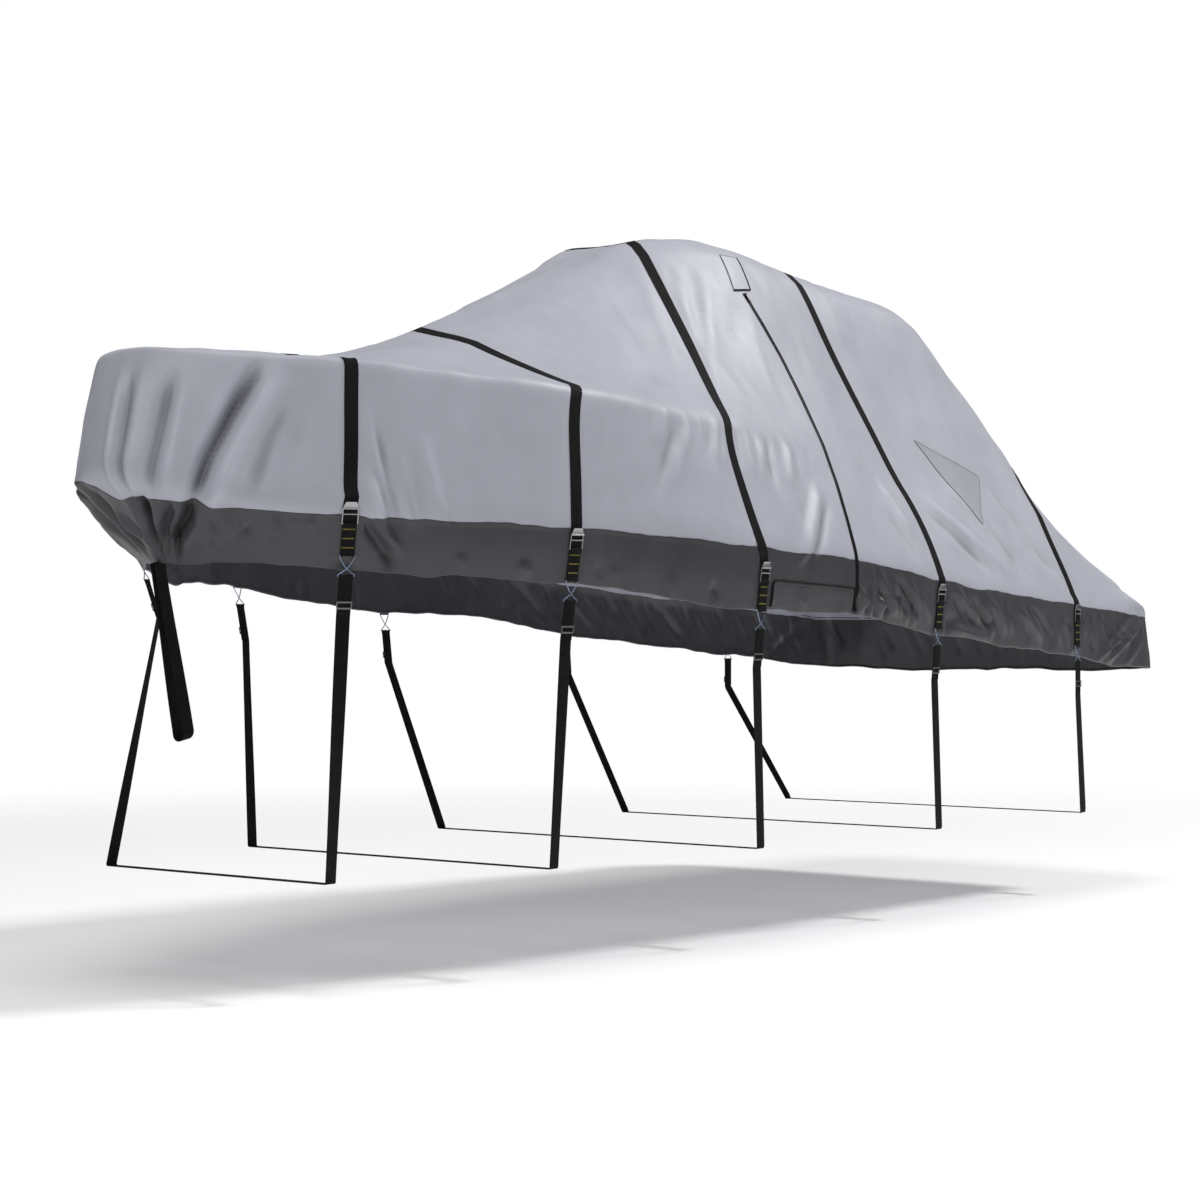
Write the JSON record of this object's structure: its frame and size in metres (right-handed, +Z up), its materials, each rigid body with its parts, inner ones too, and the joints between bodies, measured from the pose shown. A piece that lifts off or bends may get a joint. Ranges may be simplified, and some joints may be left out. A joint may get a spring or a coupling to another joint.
{
  "type": "fitted boat cover",
  "caption": "Fitted cabin boat cover of grey cloth with a charcoal band, side zip, patches, webbing straps over the top and under the trailer, cam buckles and wire hooks.",
  "frame": {"origin": "centreline point just under the top cloth, where the boat's hardtop holds the cover up", "axes": "+X to the stern, -Y to port, +Z up, level ground below"},
  "size_m": [6.8697, 2.4566, 2.9533],
  "materials": {
    "canopy_cloth": "coated polyester, light grey, soft sheen",
    "band_cloth": "coated polyester, charcoal, the patch on it with black piping",
    "zip_tape": "black zip tape with moulded teeth",
    "webbing": "black woven webbing, tabs with yellow bar stitches",
    "buckle_metal": "zinc-plated, satin",
    "hook_wire": "blue-passivated wire",
    "slider_metal": "dark plated, satin"
  },
  "bodies": {
    "root": {"canopy": "canopy_cloth", "skirt_band_bow": "band_cloth", "skirt_band_port": "band_cloth", "skirt_band_stern": "band_cloth", "skirt_band_starboard": "band_cloth", "band_patch": "band_cloth", "corner_patch": "canopy_cloth", "zip_flap": "canopy_cloth", "zip": "zip_tape", "bow_strap": "webbing", "top_strap_1": "webbing", "lower_strap_1": "webbing", "buckle_port_1": "buckle_metal", "tab_port_1": "webbing", "hook_port_1": "hook_wire", "slider_port_1": "slider_metal", "buckle_starboard_1": "buckle_metal", "tab_starboard_1": "webbing", "hook_starboard_1": "hook_wire", "slider_starboard_1": "slider_metal", "top_strap_2": "webbing", "lower_strap_2": "webbing", "buckle_port_2": "buckle_metal", "tab_port_2": "webbing", "hook_port_2": "hook_wire", "slider_port_2": "slider_metal", "buckle_starboard_2": "buckle_metal", "tab_starboard_2": "webbing", "hook_starboard_2": "hook_wire", "slider_starboard_2": "slider_metal", "top_strap_3": "webbing", "lower_strap_3": "webbing", "buckle_port_3": "buckle_metal", "tab_port_3": "webbing", "hook_port_3": "hook_wire", "slider_port_3": "slider_metal", "buckle_starboard_3": "buckle_metal", "tab_starboard_3": "webbing", "hook_starboard_3": "hook_wire", "slider_starboard_3": "slider_metal", "top_strap_4": "webbing", "lower_strap_4": "webbing", "buckle_port_4": "buckle_metal", "tab_port_4": "webbing", "hook_port_4": "hook_wire", "slider_port_4": "slider_metal", "buckle_starboard_4": "buckle_metal", "tab_starboard_4": "webbing", "hook_starboard_4": "hook_wire", "slider_starboard_4": "slider_metal", "top_strap_5": "webbing", "lower_strap_5": "webbing", "buckle_port_5": "buckle_metal", "tab_port_5": "webbing", "hook_port_5": "hook_wire", "slider_port_5": "slider_metal", "buckle_starboard_5": "buckle_metal", "tab_starboard_5": "webbing", "hook_starboard_5": "hook_wire", "slider_starboard_5": "slider_metal"}
  },
  "joints": []
}
